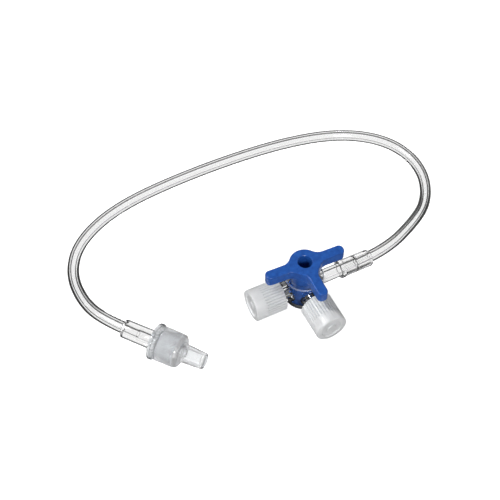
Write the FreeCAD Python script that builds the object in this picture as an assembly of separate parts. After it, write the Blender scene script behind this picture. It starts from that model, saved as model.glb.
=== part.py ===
import FreeCAD, Part
import math
import os

# A three way stopcock with its extension tube. Millimetres, +Z up. The origin is where the plug's
# axis meets the underside of the barrel. +X runs along the line towards the extension tube, and the
# two capped ports point to -X and -Y.

# Screw caps of the two open ports
cap_radius = 5.0
cap_start = 8.0
cap_length = 10.0
cap_wall = 1.0
cap_bore_radius = 4.1
cap_edge = 0.2
cap_rim_round = 0.5
cap_groove_count = 34
cap_groove_depth = 0.22
cap_groove_width = 0.55
cap_groove_length = 6.6
cap_groove_runout = 0.9
cap_dish_radius = 3.4
cap_dish_depth = 0.45
cap_boss_radius = 1.3
cap_boss_drop = 0.1
cap_plug_length = 6.6
cap_floor_gap = 0.2

# Barrel
barrel_foot_radius = 5.75
barrel_rim_radius = 6.05
barrel_edge = 0.3

# Tap: tapered plug, hub and three arms in one moulding
plug_low_radius = 3.8
plug_high_radius = 4.25
plug_gap = 0.05
snap_lip_radius = 4.2
snap_lip_height = 0.6
snap_lip_edge = 0.25
snap_relief_height = 1.35
snap_relief_gap = 0.2
snap_seat_gap = 0.06
foot_dish_radius = 2.6
foot_dish_depth = 0.5
hub_gap = 0.15
hub_foot_radius = 4.5
hub_foot_edge = 0.2
hub_radius = 4.8
hub_height = 6.6
hub_hole_radius = 2.2
hub_hole_depth = 8.5
arm_reach = 12.85
arm_width = 3.25
arm_thickness = 3.75
arm_tip_round = 1.35
arm_blend = 3.6
arm_edge_round = 0.45
flow_radius = 1.1
branch_radius = 1.0
tap_rest_turn = -2.2

# Female luer lock ports under the caps
luer_mouth_radius = 2.15
luer_taper = 0.03
luer_depth = 7.6
port_radius = 3.15
port_root_radius = 3.5
port_root_length = 1.4
port_mouth_gap = 0.15
lug_radius = 3.9
lug_thickness = 1.0
lug_angle = 80.0
luer_gap = 0.04

# Slip cone on the tube side, and the ribbed adaptor bonded on it
cone_base_radius = 2.14
cone_length = 5.8
adaptor_start = 12.5
adaptor_length = 11.0
adaptor_radius = 2.55
adaptor_collar_radius = 2.9
adaptor_collar_length = 1.3
adaptor_edge = 0.2
adaptor_web = 0.7
adaptor_rib_count = 8
adaptor_rib_height = 0.18
adaptor_rib_width = 0.75
adaptor_rib_turn = 34.0

# Extension tube
tube_radius = 1.9
tube_bore_radius = 0.95
tube_lead = 6.0

# Far end: male luer lock connector, its turning collar and its cap
far_mouth_x = -55.37
far_mouth_y = 9.44
far_heading = -51.4
far_lead = 5.0
sleeve_radius = 2.85
sleeve_length = 10.3
sleeve_socket = 5.0
sleeve_edge = 0.35
neck_radius = 2.1
stop_radius = 2.9
stop_thickness = 0.8
tip_radius = 1.97
tip_length = 7.5
collar_gap = 0.08
flange_radius = 5.6
flange_thickness = 1.0
flange_edge = 0.25
collar_back = 1.4
collar_length = 7.0
knurl_radius = 5.2
knurl_length = 1.3
knurl_count = 36
knurl_depth = 0.25
knurl_width = 0.6
skirt_radius = 4.6
thread_root_radius = 4.0
lid_gap = 0.05
lid_start_gap = 0.1
lid_radius = 5.25
lid_shoulder_radius = 5.1
lid_length = 6.6
lid_wall = 1.1
lid_shoulder_round = 1.2
lid_boss_radius = 2.9
lid_boss_gap = 0.2
lid_groove_count = 40
lid_groove_depth = 0.15
lid_groove_width = 0.45
lid_groove_length = 3.8
lid_groove_runout = 0.8
nose_root_radius = 2.9
nose_end_radius = 2.4
nose_length = 7.5
nose_bore_radius = 1.6
nose_wall = 1.0
nose_edge = 0.35
nose_dish_radius = 1.7
nose_dish_depth = 0.3

# Places that follow from the sizes
port_height = cap_radius + cap_floor_gap
barrel_height = 2 * port_height
cap_end = cap_start + cap_length
port_mouth = cap_end - cap_wall - port_mouth_gap
luer_floor_radius = luer_mouth_radius - luer_taper * luer_depth
cone_tip = adaptor_start + cone_length
adaptor_end = adaptor_start + adaptor_length
socket_floor = cone_tip + adaptor_web
hub_floor = barrel_height + hub_gap
hub_top = hub_floor + hub_height
arm_floor = hub_top - arm_thickness
collar_start = sleeve_length + collar_gap
stop_start = collar_start + collar_back + collar_gap
tip_start = stop_start + stop_thickness
tip_end = tip_start + tip_length
collar_end = collar_start + collar_length
lid_start = collar_start + flange_thickness + knurl_length + lid_start_gap
lid_end = lid_start + lid_length
nose_end = lid_end + nose_length

up = FreeCAD.Vector(0, 0, 1)
origin = FreeCAD.Vector(0, 0, 0)


def point(x, y, z):
    return FreeCAD.Vector(x, y, z)


port_centre = point(0, 0, port_height)
left = point(-1, 0, 0)
front = point(0, -1, 0)
right = point(1, 0, 0)
far_turn = math.radians(far_heading)
far_along = point(math.cos(far_turn), math.sin(far_turn), 0)
far_mouth = point(far_mouth_x, far_mouth_y, flange_radius)

# Corners of the tube's route: out of the adaptor along its axis, down to the table, round the
# loop as it lies, and up into the far sleeve along that one's axis.
route = [
    point(socket_floor, 0, port_height),
    point(adaptor_end + tube_lead, 0, port_height),
    point(45.83, 7.44, 3.3),
    point(54.33, 13.94, tube_radius),
    point(59.63, 23.44, tube_radius),
    point(60.23, 33.54, tube_radius),
    point(56.43, 42.84, tube_radius),
    point(47.93, 50.64, tube_radius),
    point(35.23, 56.04, tube_radius),
    point(14.73, 59.24, tube_radius),
    point(-14.67, 59.54, tube_radius),
    point(-39.57, 56.84, tube_radius),
    point(-55.37, 49.14, tube_radius),
    point(-62.57, 38.14, tube_radius),
    point(-62.87, 23.94, 3.7),
    far_mouth - far_along * far_lead,
    far_mouth + far_along * sleeve_socket,
]


def turned(profile):
    # A closed outline of (radius, height) points spun about Z.
    corners = [point(radius, 0, height) for radius, height in profile]
    wire = Part.makePolygon(corners + corners[:1])
    return Part.Face(wire).revolve(origin, up, 360)


def laid(shape, start, direction):
    # Lays a piece that was made along Z so that it points along the direction from its start.
    placed = shape.copy()
    placed.Placement = FreeCAD.Placement(start, FreeCAD.Rotation(up, direction))
    return placed


def around(shape, count, phase=0.0):
    copies = []
    for index in range(count):
        copy = shape.copy()
        copy.rotate(origin, up, phase + 360.0 * index / count)
        copies.append(copy)
    return copies


def groove(radius, depth, width, start, end, runout):
    # V shaped cutter for one lengthwise groove whose floor climbs out of the surface at its end.
    top = radius + depth
    sections = []
    for height, floor in ((start, radius - depth), (end - runout, radius - depth), (end, radius + depth / 20)):
        half = width * (top - floor) / (2 * depth)
        corners = [point(floor, 0, height), point(top, half, height), point(top, -half, height)]
        sections.append(Part.makePolygon(corners + corners[:1]))
    return Part.makeLoft(sections, True, True)


def circle_edges(shape, radius, height):
    # The round edges of that radius at that height on a piece made along Z.
    found = []
    for edge in shape.Edges:
        if edge.Curve.TypeId != "Part::GeomCircle":
            continue
        if abs(edge.Curve.Radius - radius) < 1e-4 and abs(edge.Curve.Center.z - height) < 1e-4:
            found.append(edge)
    return found


def arc_about(centre, radius, start, end):
    # The shorter arc from start to end about the centre.
    outward = (start + end) * 0.5 - centre
    outward.normalize()
    return Part.Arc(start, centre + outward * radius, end).toShape()


def luer_port(direction):
    # Port tube with a widened root and two opposite lugs at its mouth.
    root_end = barrel_rim_radius + port_root_length
    tube = turned(
        [
            (0, 0),
            (port_root_radius, 0),
            (port_root_radius, barrel_rim_radius),
            (port_radius, root_end),
            (port_radius, port_mouth),
            (0, port_mouth),
        ]
    )
    lug_floor = point(0, 0, port_mouth - lug_thickness)
    lugs = []
    for start in (-lug_angle / 2, 180 - lug_angle / 2):
        lug = Part.makeCylinder(lug_radius, lug_thickness, lug_floor, up, lug_angle)
        lug.rotate(origin, up, start)
        lugs.append(lug)
    return laid(tube.fuse(lugs), port_centre, direction)


def luer_bore(direction):
    # Luer cone from the mouth inwards, then the flow channel to the plug.
    bore = turned(
        [
            (0, 0),
            (flow_radius, 0),
            (flow_radius, port_mouth - luer_depth),
            (luer_floor_radius, port_mouth - luer_depth),
            (luer_mouth_radius, port_mouth),
            (luer_mouth_radius, port_mouth + 1),
            (0, port_mouth + 1),
        ]
    )
    return laid(bore, port_centre, direction)


def stopcock_body():
    outside = turned(
        [
            (0, 0),
            (barrel_foot_radius - barrel_edge, 0),
            (barrel_foot_radius, barrel_edge),
            (barrel_rim_radius, barrel_height - barrel_edge),
            (barrel_rim_radius - barrel_edge, barrel_height),
            (0, barrel_height),
        ]
    )
    neck = turned(
        [
            (0, 0),
            (cone_base_radius, 0),
            (cone_base_radius, adaptor_start),
            (cone_base_radius - luer_taper * cone_length, cone_tip),
            (0, cone_tip),
        ]
    )
    seat = turned(
        [
            (0, -1),
            (snap_lip_radius + snap_relief_gap, -1),
            (snap_lip_radius + snap_relief_gap, snap_relief_height),
            (plug_low_radius + plug_gap, snap_relief_height),
            (plug_high_radius + plug_gap, barrel_height),
            (plug_high_radius + plug_gap, barrel_height + 1),
            (0, barrel_height + 1),
        ]
    )
    channel = Part.makeCylinder(flow_radius, cone_tip + 1)
    solid = outside.fuse([luer_port(left), luer_port(front), laid(neck, port_centre, right)])
    cuts = [seat, luer_bore(left), luer_bore(front), laid(channel, port_centre, right)]
    return solid.cut(cuts)


def arm(direction):
    # Plan of one arm: parallel sides that sweep into the hub through concave arcs, round corners.
    half = arm_width / 2
    corner = arm_reach - arm_tip_round
    blend_y = half + arm_blend
    blend_x = math.sqrt((hub_radius + arm_blend) ** 2 - blend_y**2)
    edges = []
    tips = []
    for side in (1, -1):
        blend_centre = point(blend_x, side * blend_y, 0)
        on_hub = blend_centre * (hub_radius / (hub_radius + arm_blend))
        on_side = point(blend_x, side * half, 0)
        corner_start = point(corner, side * half, 0)
        tip = point(arm_reach, side * (half - arm_tip_round), 0)
        corner_centre = point(corner, side * (half - arm_tip_round), 0)
        edges.append(arc_about(blend_centre, arm_blend, on_hub, on_side))
        edges.append(Part.LineSegment(on_side, corner_start).toShape())
        edges.append(arc_about(corner_centre, arm_tip_round, corner_start, tip))
        tips.append((on_hub, tip))
    edges.append(Part.LineSegment(tips[0][1], tips[1][1]).toShape())
    edges.append(Part.LineSegment(tips[0][0], tips[1][0]).toShape())
    outline = Part.Wire(Part.__sortEdges__(edges))
    plate = Part.Face(outline).extrude(point(0, 0, arm_thickness))
    plate.translate(point(0, 0, arm_floor))
    plate.rotate(origin, up, math.degrees(math.atan2(direction.y, direction.x)))
    return plate


def tap_handle():
    crown = Part.makeCylinder(hub_radius, arm_thickness, point(0, 0, arm_floor))
    crown = crown.fuse([arm(left), arm(front), arm(right)]).removeSplitter()
    rims = []
    for edge in crown.Edges:
        box = edge.BoundBox
        if box.ZLength < 1e-6:
            rims.append(edge)
    crown = crown.makeFillet(arm_edge_round, rims)
    stem = turned(
        [
            (0, hub_floor),
            (hub_foot_radius - hub_foot_edge, hub_floor),
            (hub_foot_radius, hub_floor + hub_foot_edge),
            (hub_radius, arm_floor + arm_edge_round),
            (hub_radius - arm_edge_round, arm_floor + 2 * arm_edge_round),
            (0, arm_floor + 2 * arm_edge_round),
        ]
    )
    lip_top = snap_relief_height - snap_seat_gap
    lip_floor = lip_top - snap_lip_height
    plug = turned(
        [
            (0, lip_floor + foot_dish_depth),
            (foot_dish_radius - foot_dish_depth, lip_floor + foot_dish_depth),
            (foot_dish_radius, lip_floor),
            (snap_lip_radius - snap_lip_edge, lip_floor),
            (snap_lip_radius, lip_floor + snap_lip_edge),
            (snap_lip_radius, lip_top),
            (plug_low_radius, lip_top),
            (plug_low_radius, snap_relief_height),
            (plug_high_radius, barrel_height),
            (plug_high_radius, hub_floor + 1),
            (0, hub_floor + 1),
        ]
    )
    hole = turned(
        [
            (0, hub_top - hub_hole_depth),
            (hub_hole_radius - arm_edge_round, hub_top - hub_hole_depth),
            (hub_hole_radius, hub_top - hub_hole_depth + arm_edge_round),
            (hub_hole_radius, hub_top - cap_edge),
            (hub_hole_radius + cap_edge, hub_top),
            (hub_hole_radius + cap_edge, hub_top + 1),
            (0, hub_top + 1),
        ]
    )
    reach = plug_high_radius + 1
    through = Part.makeCylinder(flow_radius, 2 * reach, port_centre + left * reach, right)
    branch = Part.makeCylinder(branch_radius, reach, port_centre, front)
    tap = crown.fuse([stem, plug]).cut([hole, through, branch])
    tap.rotate(origin, up, tap_rest_turn)
    return tap


def screw_cap(direction):
    # Grooved cup with a dished end and a tapered plug in its middle, open towards the barrel.
    plug_base = cap_length - cap_wall
    plug_tip = plug_base - cap_plug_length
    mouth = port_mouth - cap_start
    base_radius = luer_mouth_radius - luer_gap + luer_taper * (plug_base - mouth)
    end_radius = luer_mouth_radius - luer_gap + luer_taper * (plug_tip - mouth)
    dish_floor = cap_length - cap_dish_depth
    cup = turned(
        [
            (0, plug_tip),
            (end_radius - cap_edge, plug_tip),
            (end_radius, plug_tip + cap_edge),
            (base_radius, plug_base),
            (cap_bore_radius, plug_base),
            (cap_bore_radius, cap_edge),
            (cap_bore_radius + cap_edge, 0),
            (cap_radius - cap_edge, 0),
            (cap_radius, cap_edge),
            (cap_radius, cap_length),
            (cap_dish_radius, cap_length),
            (cap_dish_radius - cap_edge, dish_floor),
            (cap_boss_radius + cap_edge, dish_floor),
            (cap_boss_radius, cap_length - cap_boss_drop),
            (0, cap_length - cap_boss_drop),
        ]
    )
    cup = cup.makeFillet(cap_rim_round, circle_edges(cup, cap_radius, cap_length))
    cutter = groove(cap_radius, cap_groove_depth, cap_groove_width, -1, cap_groove_length, cap_groove_runout)
    cup = cup.cut(around(cutter, cap_groove_count))
    return laid(cup, port_centre + direction * cap_start, direction)


def tube_adaptor():
    # Sleeve with a luer socket for the cone, a thin web, and a socket for the tube.
    cone_radius = cone_base_radius
    cone_end_radius = cone_base_radius - luer_taper * cone_length
    sleeve = turned(
        [
            (0, 0),
            (adaptor_collar_radius - adaptor_edge, 0),
            (adaptor_collar_radius, adaptor_edge),
            (adaptor_collar_radius, adaptor_collar_length),
            (adaptor_radius, adaptor_collar_length + adaptor_edge),
            (adaptor_radius, adaptor_length - adaptor_edge),
            (adaptor_radius - adaptor_edge, adaptor_length),
            (0, adaptor_length),
        ]
    )
    rib_reach = adaptor_radius + adaptor_rib_height
    rib_length = adaptor_length - adaptor_collar_length - adaptor_edge
    rib = Part.makeBox(
        rib_reach, adaptor_rib_width, rib_length, point(0, -adaptor_rib_width / 2, adaptor_collar_length / 2)
    )
    ring = Part.makeCylinder(rib_reach, adaptor_length)
    ribs = [piece.common(ring) for piece in around(rib, adaptor_rib_count, adaptor_rib_turn)]
    bore = turned(
        [
            (0, -1),
            (cone_radius, -1),
            (cone_radius, 0),
            (cone_end_radius, cone_length),
            (flow_radius, cone_length),
            (flow_radius, cone_length + adaptor_web),
            (tube_radius, cone_length + adaptor_web),
            (tube_radius, adaptor_length + 1),
            (0, adaptor_length + 1),
        ]
    )
    solid = sleeve.fuse(ribs).cut(bore)
    return laid(solid, port_centre + right * adaptor_start, right)


def tube_path():
    # Straight runs joined by the largest arcs that the runs leave room for.
    edges = []
    radii = []
    here = route[0]
    for before, corner, after in zip(route, route[1:], route[2:]):
        first = corner - before
        second = after - corner
        cut_back = 0.45 * min(first.Length, second.Length)
        half_turn = first.getAngle(second) / 2
        radius = cut_back / math.tan(half_turn)
        first.normalize()
        second.normalize()
        start = corner - first * cut_back
        end = corner + second * cut_back
        inward = second - first
        inward.normalize()
        middle = corner + inward * (radius / math.cos(half_turn) - radius)
        edges.append(Part.LineSegment(here, start).toShape())
        edges.append(Part.Arc(start, middle, end).toShape())
        radii.append(radius)
        here = end
    edges.append(Part.LineSegment(here, route[-1]).toShape())
    return Part.Wire(edges), radii


def extension_tube():
    path, radii = tube_path()
    first = route[1] - route[0]
    rings = []
    for radius in (tube_radius, tube_bore_radius):
        circle = Part.makeCircle(radius, route[0], first)
        rings.append(path.makePipeShell([Part.Wire([circle])], True, False))
    tube = rings[0].cut(rings[1])
    section = math.pi * (tube_radius**2 - tube_bore_radius**2)
    print("tube length", round(path.Length, 1), "radii", [round(radius, 1) for radius in radii])
    print("tube volume", round(tube.Volume, 1), "section times length", round(section * path.Length, 1))
    return tube


def male_luer_connector():
    # Tube sleeve, neck for the collar, stop ring and luer cone, with one bore through all.
    tip_base_radius = tip_radius + luer_taper * tip_length
    solid = turned(
        [
            (0, 0),
            (sleeve_radius - sleeve_edge, 0),
            (sleeve_radius, sleeve_edge),
            (sleeve_radius, sleeve_length),
            (neck_radius, sleeve_length),
            (neck_radius, stop_start),
            (stop_radius, stop_start),
            (stop_radius, tip_start),
            (tip_base_radius, tip_start),
            (tip_radius, tip_end),
            (0, tip_end),
        ]
    )
    bore = turned(
        [
            (0, -1),
            (tube_radius, -1),
            (tube_radius, sleeve_socket),
            (flow_radius, sleeve_socket),
            (flow_radius, tip_end + 1),
            (0, tip_end + 1),
        ]
    )
    return laid(solid.cut(bore), far_mouth, far_along)


def lock_collar():
    knurl_end = flange_thickness + knurl_length
    hole_radius = neck_radius + collar_gap
    solid = turned(
        [
            (hole_radius, 0),
            (flange_radius - flange_edge, 0),
            (flange_radius, flange_edge),
            (flange_radius, flange_thickness - flange_edge),
            (flange_radius - flange_edge, flange_thickness),
            (knurl_radius, flange_thickness),
            (knurl_radius, knurl_end),
            (skirt_radius, knurl_end),
            (skirt_radius, collar_length),
            (thread_root_radius, collar_length),
            (thread_root_radius, collar_back),
            (hole_radius, collar_back),
        ]
    )
    cutter = groove(knurl_radius, knurl_depth, knurl_width, flange_thickness, knurl_end + 1, knurl_depth)
    solid = solid.cut(around(cutter, knurl_count))
    return laid(solid, far_mouth + far_along * collar_start, far_along)


def male_luer_cap():
    # Stepped cap: skirt over the collar, rounded shoulder, and a hollow nose over the luer cone.
    shoulder = lid_length
    total = lid_length + nose_length
    tip = tip_end - lid_start
    seat_end = tip + lid_boss_gap
    boss_start = collar_end + lid_boss_gap - lid_start
    cone_here = tip_radius + luer_taper * (tip - boss_start) + luer_gap
    inner_floor = lid_length - lid_wall
    solid = turned(
        [
            (skirt_radius + lid_gap, 0),
            (lid_radius, 0),
            (lid_shoulder_radius, shoulder),
            (nose_root_radius, shoulder),
            (nose_end_radius, total - nose_edge),
            (nose_end_radius - nose_edge, total),
            (nose_dish_radius, total),
            (nose_dish_radius, total - nose_dish_depth),
            (0, total - nose_dish_depth),
            (0, total - nose_wall),
            (nose_bore_radius, total - nose_wall),
            (nose_bore_radius, seat_end),
            (tip_radius + luer_gap, seat_end),
            (cone_here, boss_start),
            (lid_boss_radius, boss_start),
            (lid_boss_radius, inner_floor),
            (skirt_radius + lid_gap, inner_floor),
        ]
    )
    solid = solid.makeFillet(lid_shoulder_round, circle_edges(solid, lid_shoulder_radius, shoulder))
    cutter = groove(
        lid_radius, lid_groove_depth, lid_groove_width, -1, lid_groove_length, lid_groove_runout
    )
    solid = solid.cut(around(cutter, lid_groove_count))
    return laid(solid, far_mouth + far_along * lid_start, far_along)


pieces = {
    "stopcock_body": stopcock_body(),
    "tap_handle": tap_handle(),
    "left_port_cap": screw_cap(left),
    "front_port_cap": screw_cap(front),
    "tube_adaptor": tube_adaptor(),
    "extension_tube": extension_tube(),
    "male_luer_connector": male_luer_connector(),
    "lock_collar": lock_collar(),
    "male_luer_cap": male_luer_cap(),
}

os.makedirs("parts", exist_ok=True)
for name, shape in pieces.items():
    shape.exportStep("parts/" + name + ".step")
    print(name, "solids", len(shape.Solids), "valid", shape.isValid(), "volume", round(shape.Volume, 1))
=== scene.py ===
import bpy
import bmesh
import math
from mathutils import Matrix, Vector


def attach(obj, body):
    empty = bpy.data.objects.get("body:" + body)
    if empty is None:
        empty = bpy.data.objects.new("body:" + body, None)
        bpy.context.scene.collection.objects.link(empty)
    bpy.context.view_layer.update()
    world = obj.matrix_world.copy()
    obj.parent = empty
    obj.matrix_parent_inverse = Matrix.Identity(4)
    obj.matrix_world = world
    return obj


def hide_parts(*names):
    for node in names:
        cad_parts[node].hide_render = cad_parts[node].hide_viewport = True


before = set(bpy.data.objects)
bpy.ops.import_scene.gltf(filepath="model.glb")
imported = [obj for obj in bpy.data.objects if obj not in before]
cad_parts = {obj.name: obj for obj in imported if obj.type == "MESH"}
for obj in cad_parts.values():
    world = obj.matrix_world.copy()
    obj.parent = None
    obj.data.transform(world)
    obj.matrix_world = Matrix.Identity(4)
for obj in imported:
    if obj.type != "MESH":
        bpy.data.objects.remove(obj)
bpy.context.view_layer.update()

print("frame loaded:", len(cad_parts), "nodes")

mm = 0.001
poleRadius = 0.002  # in mm; a ring this small is merged into one point on the axis
mergeReach = 0.005

# camera: the photograph's own view, worked out from the caps, the ports and the hose
camera = {
    "lens": 66.865,
    "azimuth": -26.327,
    "elevation": 53.211,
    "distance": 293.868 * mm,
    "target": Vector((-8.871, 19.088, 5.295)) * mm,
}


def setCamera(settings):
    data = bpy.data.cameras.new("photoCamera")
    data.lens = settings["lens"]
    data.sensor_width = 36
    data.clip_start = 10 * mm
    turn = math.radians(settings["azimuth"])
    rise = math.radians(settings["elevation"])
    back = Vector((math.sin(turn) * math.cos(rise), -math.cos(turn) * math.cos(rise), math.sin(rise)))
    holder = bpy.data.objects.new("photoCamera", data)
    holder.location = settings["target"] + back * settings["distance"]
    holder.rotation_euler = (math.radians(90) - rise, 0, turn)
    bpy.context.scene.collection.objects.link(holder)
    bpy.context.scene.camera = holder


setCamera(camera)
print("camera set")


def fromHex(code):
    # sRGB hex to linear
    values = [int(code[i:i + 2], 16) / 255 for i in (1, 3, 5)]
    linear = [v / 12.92 if v <= 0.04045 else ((v + 0.055) / 1.055) ** 2.4 for v in values]
    return (*linear, 1.0)


def addNode(owner, kind, settings=None, inputs=None, links=None):
    # one node with its settings, its socket values and the links that come into it
    node = owner.node_tree.nodes.new(kind)
    for name, value in (settings or {}).items():
        setattr(node, name, value)
    for name, value in (inputs or {}).items():
        socketOf(node, name).default_value = value
    for name, source in (links or {}).items():
        owner.node_tree.links.new(source, socketOf(node, name))
    return node


def resultOf(node):
    return [socket for socket in node.outputs if socket.enabled][0]


def socketOf(node, name):
    # a switched-off socket can bear the same name as the one in use
    if isinstance(name, int):
        return node.inputs[name]
    return [socket for socket in node.inputs if socket.name == name and socket.enabled][0]


def newMaterial(name):
    material = bpy.data.materials.new(name)
    material.use_nodes = True
    material.node_tree.nodes.clear()
    return material


def finishMaterial(material, surface):
    addNode(material, "ShaderNodeOutputMaterial", links={"Surface": surface})
    return material


# hose: the route's corners are those of the part's source
hose = {
    "radius": 1.9,
    "bore": 0.95,
    "channel": 1.1,
    "length": 235.6,
    "exit": (23.5, 0, 5.2),
    "sides": 40,
    "farMouth": (-55.37, 9.44, 5.6),
    "farHeading": -51.4,
    "lead": 5.0,
    "route": [
        (19.0, 0, 5.2), (29.5, 0, 5.2), (45.83, 7.44, 3.3), (54.33, 13.94, 1.9),
        (59.63, 23.44, 1.9), (60.23, 33.54, 1.9), (56.43, 42.84, 1.9), (47.93, 50.64, 1.9),
        (35.23, 56.04, 1.9), (14.73, 59.24, 1.9), (-14.67, 59.54, 1.9), (-39.57, 56.84, 1.9),
        (-55.37, 49.14, 1.9), (-62.57, 38.14, 1.9), (-62.87, 23.94, 3.7),
    ],
}
farTurn = math.radians(hose["farHeading"])
farAlong = Vector((math.cos(farTurn), math.sin(farTurn), 0))
farMouth = Vector(hose["farMouth"])


def hoseLine(settings):
    # points along the hose's smooth line, read from its own spline
    corners = [Vector(corner) for corner in settings["route"]]
    corners += [farMouth - farAlong * settings["lead"], farMouth + farAlong * settings["lead"]]
    curve = bpy.data.curves.new("hoseRoute", "CURVE")
    curve.dimensions = "3D"
    curve.resolution_u = 16
    spline = curve.splines.new("NURBS")
    spline.points.add(len(corners) - 1)
    for place, corner in zip(spline.points, corners):
        place.co = (*(corner * mm), 1)
    spline.order_u = 3
    spline.use_endpoint_u = True
    holder = bpy.data.objects.new("hoseRoute", curve)
    bpy.context.scene.collection.objects.link(holder)
    line = bpy.data.meshes.new_from_object(holder)
    points = [vertex.co.copy() for vertex in line.vertices]
    bpy.data.objects.remove(holder)
    bpy.data.meshes.remove(line)
    return points


def sweepHose(name, points, settings):
    # outer and inner wall swept along the points, joined by a flat ring at each end
    sides = settings["sides"]
    vertices, faces = [], []
    side = Vector((0, 0, 1))
    for index, place in enumerate(points):
        before = points[max(index - 1, 0)]
        after = points[min(index + 1, len(points) - 1)]
        heading = (after - before).normalized()
        side = (side - heading * side.dot(heading)).normalized()
        across = heading.cross(side)
        # the middle ring steps the two end faces at the sockets' channel, and else lies on the bore
        atEnd = index in (0, len(points) - 1)
        middle = settings["channel"] if atEnd else settings["bore"]
        for wall in (settings["radius"] * mm, middle * mm, settings["bore"] * mm):
            for step in range(sides):
                angle = 2 * math.pi * step / sides
                vertices.append(place + (side * math.cos(angle) + across * math.sin(angle)) * wall)
    ring = 3 * sides
    last = (len(points) - 1) * ring
    for step in range(sides):
        a, b = step, (step + 1) % sides
        for start in range(0, last, ring):
            faces.append((start + a, start + b, start + b + ring, start + a + ring))
            start += 2 * sides
            faces.append((start + a, start + a + ring, start + b + ring, start + b))
        for wall in (0, sides):
            c, d = a + wall, b + wall
            faces.append((c, c + sides, d + sides, d))
            faces.append((last + c, last + d, last + d + sides, last + c + sides))
    mesh = bpy.data.meshes.new(name)
    mesh.from_pydata(vertices, [], faces)
    piece = bpy.data.objects.new(name, mesh)
    bpy.context.scene.collection.objects.link(piece)
    selectOnly(piece)
    bpy.ops.object.mode_set(mode="EDIT")
    bpy.ops.mesh.select_all(action="SELECT")
    bpy.ops.mesh.delete_loose(use_verts=True, use_edges=True, use_faces=False)
    bpy.ops.object.mode_set(mode="OBJECT")
    return piece


def smooth(piece, angle=35):
    # soft shading except across real edges
    selectOnly(piece)
    bpy.ops.object.shade_smooth_by_angle(angle=math.radians(angle))


def selectOnly(piece):
    bpy.ops.object.select_all(action="DESELECT")
    bpy.context.view_layer.objects.active = piece
    piece.select_set(True)


linePoints = hoseLine(hose)
hosePiece = sweepHose("extensionHose", linePoints, hose)
smooth(hosePiece)
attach(hosePiece, "stopcock")
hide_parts("extension_tube")
print("hose laid:", len(linePoints), "points")


def rounded(profile, steps=3):
    # (radius, height, rounding) corners to rings, with each rounded corner as a short arc
    rings = []
    count = len(profile)
    for index, corner in enumerate(profile):
        radius, height, rounding = (*corner, 0)[:3]
        here = Vector((radius, height))
        if not rounding:
            rings.append(here)
            continue
        before = Vector(profile[index - 1][:2])
        after = Vector(profile[(index + 1) % count][:2])
        start = here + (before - here).normalized() * rounding
        end = here + (after - here).normalized() * rounding
        for step in range(steps + 1):
            part = step / steps
            rings.append(start * (1 - part) ** 2 + here * 2 * part * (1 - part) + end * part ** 2)
    return rings


def turned(name, profile, sides=96, teeth=None):
    # a circle extruded ring by ring along Z; teeth pinch chosen points of the rings between two heights,
    # and there is one side for each share of their shape
    bpy.ops.object.select_all(action="DESELECT")
    if teeth:
        sides = teeth["count"] * len(teeth["shape"])
    rings = rounded(profile)
    radius, height = max(rings[0][0], poleRadius), rings[0][1]
    bpy.ops.mesh.primitive_circle_add(vertices=sides, radius=radius * mm, location=(0, 0, height * mm))
    piece = bpy.context.object
    piece.name = piece.data.name = name
    bpy.ops.object.transform_apply(location=True, rotation=False, scale=False)
    bpy.ops.object.mode_set(mode="EDIT")
    bpy.ops.mesh.select_all(action="SELECT")
    pinched = False
    for ring in rings[1:]:
        nextRadius, nextHeight = max(ring[0], poleRadius), ring[1]
        rise = (nextHeight - height) * mm
        bpy.ops.mesh.extrude_region_move(TRANSFORM_OT_translate={"value": (0, 0, rise)})
        factor = nextRadius / radius
        bpy.ops.transform.resize(value=(factor, factor, 1), center_override=(0, 0, 0))
        if teeth:
            toothed = teeth["start"] - 0.001 <= nextHeight <= teeth["end"] + 0.001
            inside = toothed and nextRadius > teeth["above"]
            if inside != pinched:
                pinch(piece, teeth, nextRadius, inside)
                pinched = inside
        radius, height = nextRadius, nextHeight
    bpy.ops.mesh.select_all(action="SELECT")
    bpy.ops.mesh.remove_doubles(threshold=mergeReach * mm)
    bpy.ops.mesh.normals_make_consistent(inside=False)
    bpy.ops.object.mode_set(mode="OBJECT")
    return piece


def pinch(piece, teeth, radius, inward):
    # moves the groove points of the selected ring in or out, then selects the whole ring again
    shape = bmesh.from_edit_mesh(piece.data)
    ring = [vertex.index for vertex in shape.verts if vertex.select]
    pitch = 2 * math.pi / teeth["count"]
    shares = teeth["shape"]
    for place, depth in enumerate(shares):
        if not depth:
            continue
        shape = bmesh.from_edit_mesh(piece.data)
        shape.verts.ensure_lookup_table()
        bpy.ops.mesh.select_all(action="DESELECT")
        for index in ring:
            vertex = shape.verts[index]
            angle = math.atan2(vertex.co.y, vertex.co.x) - math.radians(teeth["phase"])
            part = (angle % pitch) / pitch * len(shares)
            vertex.select = round(part) % len(shares) == place
        factor = (radius - teeth["depth"] * depth) / radius
        factor = factor if inward else 1 / factor
        bpy.ops.transform.resize(value=(factor, factor, 1), center_override=(0, 0, 0))
    shape = bmesh.from_edit_mesh(piece.data)
    shape.verts.ensure_lookup_table()
    for index in ring:
        shape.verts[index].select = True
    shape.select_flush(True)
    bmesh.update_edit_mesh(piece.data)


def lay(piece, start, heading):
    # turns a piece made along Z to lie along the heading, and moves it to its start; without a window
    # rotate turns the other way, so both angles are negative
    selectOnly(piece)
    bpy.ops.object.mode_set(mode="EDIT")
    bpy.ops.mesh.select_all(action="SELECT")
    bpy.ops.transform.rotate(value=math.radians(-90), orient_axis="Y", center_override=(0, 0, 0))
    bpy.ops.transform.rotate(value=math.radians(-heading), orient_axis="Z", center_override=(0, 0, 0))
    bpy.ops.transform.translate(value=Vector(start) * mm)
    bpy.ops.object.mode_set(mode="OBJECT")


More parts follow.
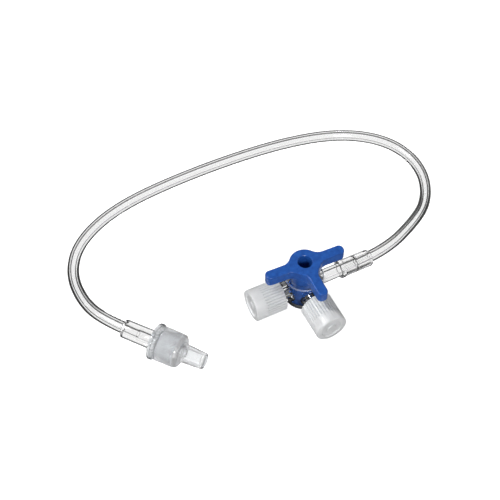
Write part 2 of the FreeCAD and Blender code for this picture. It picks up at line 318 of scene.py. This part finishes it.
def combine(piece, other, operation):
    # boolean of two closed pieces; the second one is used up
    modifier = piece.modifiers.new(operation.lower(), "BOOLEAN")
    modifier.operation = operation
    modifier.solver = "EXACT"
    modifier.object = other
    selectOnly(piece)
    bpy.ops.object.modifier_apply(modifier=modifier.name)
    bpy.data.objects.remove(other)


portHeight = 5.2
leftHeading, frontHeading, rightHeading = 180, -90, 0

# stopcock body: barrel, two luer lock ports and the neck towards the hose, in one moulding
body = {
    "barrel": [(0, 0), (5.75, 0, 0.3), (6.05, 10.4, 0.35), (0, 10.4)],
    "port": [
        (0, 0), (3.5, 0), (3.5, 6.05), (3.15, 7.45), (3.15, 15.85), (3.15, 16.85, 0.12), (0, 16.85),
    ],
    "neck": [(0, 0), (2.14, 0), (2.14, 12.5), (1.966, 18.3), (0, 18.3)],
    "seat": [
        (0, -1), (4.4, -1), (4.4, 1.35), (3.77, 1.35), (4.22, 10.15), (4.45, 10.4), (4.45, 11.4),
        (0, 11.4),
    ],
    "bore": [(0, 0), (1.1, 0), (1.1, 9.25), (1.922, 9.25), (2.15, 16.85), (2.15, 18), (0, 18)],
    "channel": [(0, 0), (1.1, 0), (1.1, 19.5), (0, 19.5)],
    "mouthRadius": 3.15,
    "lugFloor": 15.85,
    "lugReach": 3.9,
    "lugAngle": 80,
}


def growLugs(piece, settings):
    # two opposite lugs drawn out of the wall at the port's mouth
    selectOnly(piece)
    bpy.ops.object.mode_set(mode="EDIT")
    bpy.ops.mesh.select_mode(type="FACE")
    bpy.ops.mesh.select_all(action="DESELECT")
    shape = bmesh.from_edit_mesh(piece.data)
    for face in shape.faces:
        middle = face.calc_center_median() / mm
        around = math.degrees(math.atan2(middle.y, middle.x)) % 180
        near = min(around, 180 - around) < settings["lugAngle"] / 2
        face.select_set(near and abs(face.normal.z) < 0.1 and middle.z > settings["lugFloor"])
    bmesh.update_edit_mesh(piece.data)
    bpy.ops.mesh.extrude_region_move()
    factor = settings["lugReach"] / settings["mouthRadius"]
    bpy.ops.transform.resize(value=(factor, factor, 1), center_override=(0, 0, 0))
    bpy.ops.mesh.select_mode(type="VERT")
    bpy.ops.object.mode_set(mode="OBJECT")


def makeBody(settings):
    piece = turned("clearBody", settings["barrel"], sides=128)
    for heading in (leftHeading, frontHeading):
        port = turned("port", settings["port"], sides=80)
        growLugs(port, settings)
        lay(port, (0, 0, portHeight), heading)
        combine(piece, port, "UNION")
    neck = turned("neck", settings["neck"], sides=64)
    lay(neck, (0, 0, portHeight), rightHeading)
    combine(piece, neck, "UNION")
    combine(piece, turned("seat", settings["seat"], sides=128), "DIFFERENCE")
    for key, heading in (("bore", leftHeading), ("bore", frontHeading), ("channel", rightHeading)):
        cutter = turned(key, settings[key], sides=48)
        lay(cutter, (0, 0, portHeight), heading)
        combine(piece, cutter, "DIFFERENCE")
    smooth(piece, angle=40)
    return piece


bodyPiece = makeBody(body)
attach(bodyPiece, "stopcock")
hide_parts("stopcock_body")
print("body modelled:", len(bodyPiece.data.polygons), "faces")

# adaptor: ribbed sleeve, socket for the neck's cone at one end and for the hose at the other
adaptor = {
    "start": 12.5,
    "profile": [
        (2.17, 0), (2.0, 5.8), (1.1, 5.8), (1.1, 6.5), (1.93, 6.5), (1.93, 11.0, 0.1),
        (2.55, 11.0, 0.2), (2.55, 10.5), (2.55, 1.6), (2.55, 1.3, 0.12), (2.9, 1.3, 0.15),
        (2.9, 0, 0.2), (2.17, 0),
    ],
    "ribs": {"count": 8, "phase": 34, "start": 1.6, "end": 10.5, "above": 2.45, "depth": -0.18,
             "shape": (1, 1, 1, 1, 1, 0, 0, 0, 0, 0, 0, 0, 0, 0, 0, 0, 0, 0, 0, 0, 1, 1, 1, 1)},
}
adaptorPiece = turned("tubeAdaptor", adaptor["profile"], teeth=adaptor["ribs"])
lay(adaptorPiece, (adaptor["start"], 0, portHeight), rightHeading)
smooth(adaptorPiece)
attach(adaptorPiece, "stopcock")
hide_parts("tube_adaptor")
print("adaptor modelled:", len(adaptorPiece.data.polygons), "faces")

# port caps: grooved frosted cups with a dished end, a small boss and a sealing plug inside
portCap = {
    "start": 8.0,
    "profile": [
        (0, 2.4), (1.917, 2.4, 0.2), (2.115, 9.0), (4.1, 9.0, 0.3), (4.1, 0, 0.2), (5.0, 0, 0.2),
        (5.0, 0.5), (5.0, 6.35), (5.0, 6.6), (5.0, 10.0, 0.5), (3.4, 10.0, 0.12), (3.2, 9.55, 0.1),
        (1.5, 9.55, 0.1), (1.3, 9.9, 0.1), (0, 9.9),
    ],
    "grooves": {"count": 34, "phase": 0, "start": 0, "end": 6.35, "above": 4.6, "depth": 0.22,
                "shape": (1, 0.5, 0, 0, 0, 0.5)},
}


def placePortCap(blank, name, heading, carrier, node):
    # one of the two equal caps: a copy of the blank with its own mesh, laid on its port
    piece = bpy.data.objects.new(name, blank.data.copy())
    bpy.context.scene.collection.objects.link(piece)
    turn = math.radians(heading)
    lay(piece, (portCap["start"] * math.cos(turn), portCap["start"] * math.sin(turn), portHeight), heading)
    smooth(piece, angle=25)
    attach(piece, carrier)
    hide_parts(node)
    return piece


capBlank = turned("portCap", portCap["profile"], teeth=portCap["grooves"])
leftCap = placePortCap(capBlank, "leftPortCap", leftHeading, "left_cap", "left_port_cap")
frontCap = placePortCap(capBlank, "frontPortCap", frontHeading, "front_cap", "front_port_cap")
bpy.data.objects.remove(capBlank)
print("port caps modelled:", len(leftCap.data.polygons), "faces each")

# far end: connector with its luer cone, turning lock collar and stepped cap, all along the hose's heading
connector = {
    "profile": [
        (1.93, 0), (2.85, 0, 0.35), (2.85, 10.3, 0.15), (2.1, 10.3), (2.1, 11.86),
        (2.9, 11.86, 0.1), (2.9, 12.66, 0.1), (2.195, 12.66), (1.97, 20.16, 0.15),
        (1.1, 20.16, 0.1), (1.1, 5.0), (1.93, 5.0), (1.93, 0),
    ],
}
collar = {
    "start": 10.38,
    "profile": [
        (2.18, 0), (5.6, 0, 0.25), (5.6, 1.0, 0.25), (5.2, 1.0), (5.2, 1.1), (5.2, 2.2), (5.2, 2.3),
        (4.6, 2.3), (4.6, 7.0, 0.2), (4.0, 7.0, 0.2), (4.0, 1.4, 0.2), (2.18, 1.4), (2.18, 0),
    ],
    "knurl": {"count": 36, "phase": 0, "start": 1.05, "end": 2.35, "above": 5.0, "depth": 0.25,
              "shape": (1, 0.5, 0, 0, 0, 0.5)},
}
luerCap = {
    "start": 12.78,
    "profile": [
        (0, 13.1), (1.6, 13.1, 0.3), (1.6, 7.58), (2.01, 7.58), (2.087, 4.8), (2.9, 4.8),
        (2.9, 5.5), (4.65, 5.5, 0.3), (4.65, 0, 0.1), (5.25, 0, 0.2), (5.245, 0.4), (5.18, 3.0),
        (5.17, 3.8), (5.1, 6.6, 1.2), (2.9, 6.6, 0.35), (2.4, 14.1, 0.35), (1.7, 14.1, 0.15),
        (1.7, 13.8), (0, 13.8),
    ],
    "grooves": {"count": 40, "phase": 0, "start": 0, "end": 3.0, "above": 5.0, "depth": 0.15,
                "shape": (1, 0.5, 0, 0, 0.5)},
}


def makeFarPiece(name, settings, teeth, carrier, node):
    piece = turned(name, settings["profile"], teeth=teeth)
    lay(piece, farMouth + farAlong * settings.get("start", 0), hose["farHeading"])
    smooth(piece)
    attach(piece, carrier)
    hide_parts(node)
    print(name, "modelled:", len(piece.data.polygons), "faces")
    return piece


connectorPiece = makeFarPiece(
    "luerConnector", connector, None, "stopcock", "male_luer_connector")
collarPiece = makeFarPiece(
    "lockCollar", collar, collar["knurl"], "collar", "lock_collar")
luerCapPiece = makeFarPiece(
    "steppedLuerCap", luerCap, luerCap["grooves"], "luer_cap", "male_luer_cap")


def clearPlastic(name, settings):
    # solid clear plastic with painted shade along its outline: the colour darkens by facing, in place of
    # the dark lines that refraction draws there; only where light comes in from the air, so that nothing
    # is counted twice
    material = newMaterial(name)
    facing = addNode(material, "ShaderNodeLayerWeight", inputs={"Blend": 0.5})
    paintedOutlineShade = addNode(material, "ShaderNodeMapRange", {"interpolation_type": "SMOOTHSTEP"},
                    {"From Min": settings["edgeStart"], "From Max": settings["edgeEnd"]},
                    {"Value": facing.outputs["Facing"]})
    shape = addNode(material, "ShaderNodeNewGeometry")
    outside = addNode(material, "ShaderNodeMath", {"operation": "SUBTRACT"}, {0: 1.0},
                      {1: shape.outputs["Backfacing"]})
    share = addNode(material, "ShaderNodeMath", {"operation": "MULTIPLY"},
                    links={0: paintedOutlineShade.outputs["Result"], 1: outside.outputs[0]})
    # the painted shade fades back to clear where a surface is seen almost along itself, as it mirrors more
    # there
    along = addNode(material, "ShaderNodeMapRange", {"interpolation_type": "SMOOTHSTEP"},
                    {"From Min": settings["fadeStart"], "From Max": settings["fadeEnd"], "To Min": 1.0,
                     "To Max": 0.0},
                    {"Value": facing.outputs["Facing"]})
    share = addNode(material, "ShaderNodeMath", {"operation": "MULTIPLY"},
                    links={0: share.outputs[0], 1: along.outputs["Result"]})
    colour = addNode(material, "ShaderNodeMix", {"data_type": "RGBA"},
                     {"A": fromHex(settings["colour"]), "B": fromHex(settings["edge"])},
                     {"Factor": share.outputs[0]})
    shader = addNode(
        material, "ShaderNodeBsdfPrincipled",
        inputs={"Roughness": settings["roughness"], "IOR": settings["ior"],
                "Transmission Weight": settings["clearness"]},
        links={"Base Color": resultOf(colour)})
    return finishMaterial(material, letLightThrough(material, shader))


def letLightThrough(owner, shader, passed=0.85):
    # the lamps' light passes clear plastic, as it does in life, instead of being cut off by it
    path = addNode(owner, "ShaderNodeLightPath")
    share = addNode(owner, "ShaderNodeMath", {"operation": "MULTIPLY"}, {1: passed},
                    {0: path.outputs["Is Shadow Ray"]})
    clear = addNode(owner, "ShaderNodeBsdfTransparent")
    mix = addNode(owner, "ShaderNodeMixShader",
                  links={0: share.outputs[0], 1: shader.outputs["BSDF"], 2: clear.outputs["BSDF"]})
    return mix.outputs[0]


def joined(name):
    # where two plastics touch without air between them, their faces bend no light
    material = newMaterial(name)
    shader = addNode(material, "ShaderNodeBsdfPrincipled", inputs={
        "Base Color": fromHex("#FFFFFF"), "Roughness": 0.0, "IOR": 1.0, "Transmission Weight": 1.0})
    return finishMaterial(material, letLightThrough(material, shader))


def mouldedBlue(settings):
    # coloured moulding with the faint unevenness of its flow
    material = newMaterial("mouldedBluePolyethylene")
    place = addNode(material, "ShaderNodeTexCoord")
    flow = addNode(material, "ShaderNodeTexNoise", inputs={"Scale": settings["grain"], "Detail": 3.0},
                   links={"Vector": place.outputs["Object"]})
    shade = addNode(material, "ShaderNodeMapRange", inputs={"From Min": 0.35, "From Max": 0.65},
                    links={"Value": flow.outputs["Fac"]})
    colour = addNode(material, "ShaderNodeMix", {"data_type": "RGBA"},
                     {"A": fromHex(settings["dark"]), "B": fromHex(settings["light"])},
                     {"Factor": shade.outputs["Result"]})
    shader = addNode(material, "ShaderNodeBsdfPrincipled", inputs={
        "Roughness": settings["roughness"], "IOR": 1.5, "Specular IOR Level": settings["gloss"]},
        links={"Base Color": resultOf(colour)})
    return finishMaterial(material, shader.outputs["BSDF"])


def frostedPolypropylene(name, settings):
    # milky wall: partly clear, partly scattering inside, with painted shade: greyer down in the grooves
    # and other recesses
    material = newMaterial(name)
    paintedCreviceShade = addNode(material, "ShaderNodeAmbientOcclusion", {"samples": 8}, {"Distance": 0.6 * mm})
    depth = addNode(material, "ShaderNodeMapRange", inputs={"From Min": 0.35, "From Max": 0.95},
                    links={"Value": paintedCreviceShade.outputs["AO"]})
    colour = addNode(material, "ShaderNodeMix", {"data_type": "RGBA"},
                     {"A": fromHex(settings["groove"]), "B": fromHex(settings["wall"])},
                     {"Factor": depth.outputs["Result"]})
    shader = addNode(material, "ShaderNodeBsdfPrincipled", inputs={
        "Roughness": settings["roughness"], "IOR": 1.49, "Transmission Weight": settings["clearness"],
        "Subsurface Weight": 0.3, "Subsurface Radius": (1, 1, 1), "Subsurface Scale": 0.6 * mm},
        links={"Base Color": resultOf(colour)})
    return finishMaterial(material, letLightThrough(material, shader, settings["lightPassed"]))


def paintedHighlightEdge():
    # painted highlight for a clear moulding's corners: a pale milky finish in place of the bright lines
    # light draws on the rim
    material = newMaterial("paintedHighlightPolycarbonateEdge")
    shader = addNode(material, "ShaderNodeBsdfPrincipled", inputs={
        "Base Color": fromHex("#DCE4F4"), "Roughness": 0.25, "IOR": 1.585, "Transmission Weight": 0.75})
    return finishMaterial(material, letLightThrough(material, shader))


# clear plastics: moulded polycarbonate is glassy, its ribbed and satin walls are a little hazy, and
# extruded soft PVC shows dark lines along its walls, drawn as painted shade; "edge" is the colour that the
# outline is painted darker to
plastics = {
    "mouldedPolycarbonate": {
        "ior": 1.585, "roughness": 0.02, "clearness": 1.0, "colour": "#FFFFFF",
        "edge": "#181C20", "edgeStart": 0.44, "edgeEnd": 0.62, "fadeStart": 0.8, "fadeEnd": 0.95},
    "ribbedMouldedPolycarbonate": {
        "ior": 1.585, "roughness": 0.03, "clearness": 0.97, "colour": "#FFFFFF",
        "edge": "#70747A", "edgeStart": 0.5, "edgeEnd": 0.7, "fadeStart": 0.8, "fadeEnd": 0.95},
    "satinMouldedPolycarbonate": {
        "ior": 1.585, "roughness": 0.06, "clearness": 0.85, "colour": "#F0F2F4",
        "edge": "#202428", "edgeStart": 0.42, "edgeEnd": 0.66, "fadeStart": 0.8, "fadeEnd": 0.95},
    "extrudedSoftPvc": {
        "ior": 1.53, "roughness": 0.02, "clearness": 0.99, "colour": "#FFFFFF",
        "edge": "#000000", "edgeStart": 0.35, "edgeEnd": 0.43, "fadeStart": 0.66, "fadeEnd": 0.82},
}
polycarbonate, ribbed, satin, pvc = [clearPlastic(name, settings) for name, settings in plastics.items()]
bond = joined("solventBondedJoint")
edge = paintedHighlightEdge()
grease = joined("siliconeGreasedSeat")
# the tap: moulded polyethylene, opaque with a low gloss
blue = mouldedBlue({"dark": "#1B4790", "light": "#2355A4", "grain": 700, "roughness": 0.28, "gloss": 0.3})
# the caps: moulded polypropylene, milky, and clearer where the wall is thin, with painted shade in the
# grooves
frost = frostedPolypropylene("mouldedPolypropylene", {
    "wall": "#F8F9FA", "clearness": 0.45, "roughness": 0.33, "groove": "#A8ACB0", "lightPassed": 0.0})
thinFrost = frostedPolypropylene("thinMouldedPolypropylene", {
    "wall": "#F8F9FA", "clearness": 0.83, "roughness": 0.12, "groove": "#C8CCD0", "lightPassed": 0.6})

finishes = [
    (hosePiece, pvc), (bodyPiece, polycarbonate), (adaptorPiece, ribbed),
    (connectorPiece, polycarbonate), (collarPiece, satin),
    (leftCap, frost), (frontCap, frost), (luerCapPiece, thinFrost),
]
for piece, material in finishes:
    piece.data.materials.clear()
    piece.data.materials.append(material)
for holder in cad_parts["tap_handle"].material_slots:
    holder.material = blue


def bondFaces(piece, material, start, along, reach, between):
    # the faces of a joint: those between two distances from an axis, over a length of it
    piece.data.materials.append(material)
    for face in piece.data.polygons:
        height = (face.center / mm - Vector(start)).dot(along)
        corners = [piece.data.vertices[index].co / mm - Vector(start) for index in face.vertices]
        away = sum((corner - along * corner.dot(along)).length for corner in corners) / len(corners)
        if 0 < height < reach and between[0] < away < between[1]:
            face.material_index = len(piece.data.materials) - 1


nearAxis, upAxis = Vector((1, 0, 0)), Vector((0, 0, 1))
joints = [
    # hose in the adaptor and in the far connector
    (hosePiece, bond, (18.99, 0, portHeight), nearAxis, 4.51, (1.2, 2.0)),
    (hosePiece, bond, farMouth, farAlong, 5.01, (1.2, 2.0)),
    # adaptor on the slip cone, and the sockets' own walls
    (adaptorPiece, bond, (12.5, 0, portHeight), nearAxis, 11.0, (1.2, 2.2)),
    (bodyPiece, bond, (12.5, 0, portHeight), nearAxis, 6.0, (1.2, 2.2)),
    (connectorPiece, bond, farMouth, farAlong, 5.01, (1.2, 2.0)),
    # plug seat, and the barrel's outer and inner rim, which carry the painted highlight
    (bodyPiece, grease, (0, 0, 1.4), upAxis, 8.75, (3.6, 4.3)),
    (bodyPiece, edge, (0, 0, 10.0), upAxis, 0.39, (5.6, 6.1)),
    (bodyPiece, edge, (0, 0, 10.16), upAxis, 0.23, (4.2, 4.5)),
]
for joint in joints:
    bondFaces(*joint)
print("materials set")

# studio: white floor and backdrop for the eye, plain soft light on the object
studio = {
    "floorReach": 600,
    "floorDrop": 0.1,
    "floorColour": "#D0D0D0",
    "floorGlow": 0.75,
    "footShade": (6.5, 10.0, 0.15),
    "ambient": 0.3,
    "room": [(0.3, 1.0), (0.4, 0.03), (0.6, 0.03), (0.8, 0.3)],
    "tableMirrored": 0.2,
    "tableInside": 0.88,
    "roomInside": 0.03,
    "lamps": [
        {"name": "softOverhead", "place": (-380, 260, 600), "size": 220, "power": 3.9},
        {"name": "softFill", "place": (-160, -520, 380), "size": 160, "power": 2.5},
    ],
}


def seenRays(owner):
    # shares of a ray: the eye's own; seen through clear plastic; seen in gloss or plastic; and bounced
    # inside clear plastic before it left, which brings less light than a straight way through
    path = addNode(owner, "ShaderNodeLightPath")
    looks = addNode(owner, "ShaderNodeMath", {"operation": "LESS_THAN"}, {1: 0.5},
                    {0: path.outputs["Diffuse Depth"]})
    through = addNode(owner, "ShaderNodeMath", {"operation": "MULTIPLY"},
                      links={0: looks.outputs[0], 1: path.outputs["Is Transmission Ray"]})
    gloss = addNode(owner, "ShaderNodeMath", {"operation": "MULTIPLY"},
                    links={0: looks.outputs[0], 1: path.outputs["Is Glossy Ray"]})
    passed = addNode(owner, "ShaderNodeMath", {"operation": "MAXIMUM"},
                     links={0: through.outputs[0], 1: gloss.outputs[0]})
    mirrored = addNode(owner, "ShaderNodeMath", {"operation": "GREATER_THAN"}, {1: 0.5},
                       {0: path.outputs["Glossy Depth"]})
    bounced = addNode(owner, "ShaderNodeMath", {"operation": "MULTIPLY"},
                      links={0: mirrored.outputs[0], 1: through.outputs[0]})
    return {"eye": path.outputs["Is Camera Ray"], "through": through.outputs[0],
            "passed": passed.outputs[0], "bounced": bounced.outputs[0]}


def blend(owner, factor, first, second):
    # number that goes from the first to the second as the factor goes from 0 to 1
    return addNode(owner, "ShaderNodeMapRange", inputs={"To Min": first, "To Max": second},
                   links={"Value": factor}).outputs["Result"]


def makeFloor(settings):
    bpy.ops.object.select_all(action="DESELECT")
    reach, drop = settings["floorReach"] * mm, settings["floorDrop"] * mm
    bpy.ops.mesh.primitive_plane_add(size=2 * reach, location=(0, 0, -drop))
    floor = bpy.context.object
    floor.name = "studioFloor"
    material = newMaterial("mattWhiteTable")
    rays = seenRays(material)
    glow = addNode(material, "ShaderNodeMath", {"operation": "MULTIPLY"}, {1: settings["floorGlow"]},
                   {0: rays["eye"]})
    plain = addNode(material, "ShaderNodeBsdfPrincipled", inputs={
        "Base Color": fromHex(settings["floorColour"]), "Roughness": 0.9, "Specular IOR Level": 0,
        "Emission Color": (1, 1, 1, 1)}, links={"Emission Strength": glow.outputs[0]})
    # as clear plastic shows it: bright, but shaded under the barrel's foot; gloss mirrors it more dimly
    shape = addNode(material, "ShaderNodeNewGeometry")
    away = addNode(material, "ShaderNodeVectorMath", {"operation": "LENGTH"},
                   links={0: shape.outputs["Position"]})
    start, end, least = settings["footShade"]
    light = addNode(material, "ShaderNodeMapRange", {"interpolation_type": "SMOOTHSTEP"},
                    {"From Min": start * mm, "From Max": end * mm, "To Min": least},
                    {"Value": away.outputs["Value"]})
    light = light.outputs["Result"]
    for share in (blend(material, rays["bounced"], 1, settings["tableInside"]),
                  blend(material, rays["through"], settings["tableMirrored"], 1)):
        light = addNode(material, "ShaderNodeMath", {"operation": "MULTIPLY"},
                        links={0: light, 1: share}).outputs[0]
    seen = addNode(material, "ShaderNodeEmission", links={"Strength": light})
    both = addNode(material, "ShaderNodeMixShader",
                   links={0: rays["passed"], 1: plain.outputs[0], 2: seen.outputs[0]})
    finishMaterial(material, both.outputs[0])
    floor.data.materials.append(material)


def makeWorld(settings):
    world = bpy.data.worlds.new("studio")
    bpy.context.scene.world = world
    world.use_nodes = True
    world.node_tree.nodes.clear()
    rays = seenRays(world)
    place = addNode(world, "ShaderNodeTexCoord")
    parts = addNode(world, "ShaderNodeSeparateXYZ", links={0: place.outputs["Generated"]})
    height = addNode(world, "ShaderNodeMapRange", inputs={"From Min": -1.0},
                     links={"Value": parts.outputs["Z"]})
    room = addNode(world, "ShaderNodeValToRGB", links={0: height.outputs[0]})
    stops = room.color_ramp.elements
    while len(stops) < len(settings["room"]):
        stops.new(0.5)
    for stop, (up, light) in zip(stops, settings["room"]):
        stop.position = (up + 1) / 2
        stop.color = (light, light, light, 1)
    seenRoom = addNode(world, "ShaderNodeBackground", links={"Color": room.outputs["Color"]})
    plain, white, dim = [
        addNode(world, "ShaderNodeBackground", inputs={"Color": (1, 1, 1, 1), "Strength": strength})
        for strength in (settings["ambient"], 1, settings["roomInside"])]
    mix = plain
    for share, light in ((rays["passed"], seenRoom), (rays["bounced"], dim), (rays["eye"], white)):
        mix = addNode(world, "ShaderNodeMixShader",
                      links={0: share, 1: mix.outputs[0], 2: light.outputs[0]})
    addNode(world, "ShaderNodeOutputWorld", links={"Surface": mix.outputs[0]})


def makeLamp(settings):
    data = bpy.data.lights.new(settings["name"], "AREA")
    data.shape = "DISK"
    data.size = settings["size"] * mm
    data.energy = settings["power"]
    holder = bpy.data.objects.new(settings["name"], data)
    holder.location = Vector(settings["place"]) * mm
    holder.rotation_euler = (-holder.location).to_track_quat("-Z", "Y").to_euler()
    bpy.context.scene.collection.objects.link(holder)


makeFloor(studio)
makeWorld(studio)
for settings in studio["lamps"]:
    makeLamp(settings)
bpy.context.scene.view_settings.view_transform = "Standard"
print("studio set")
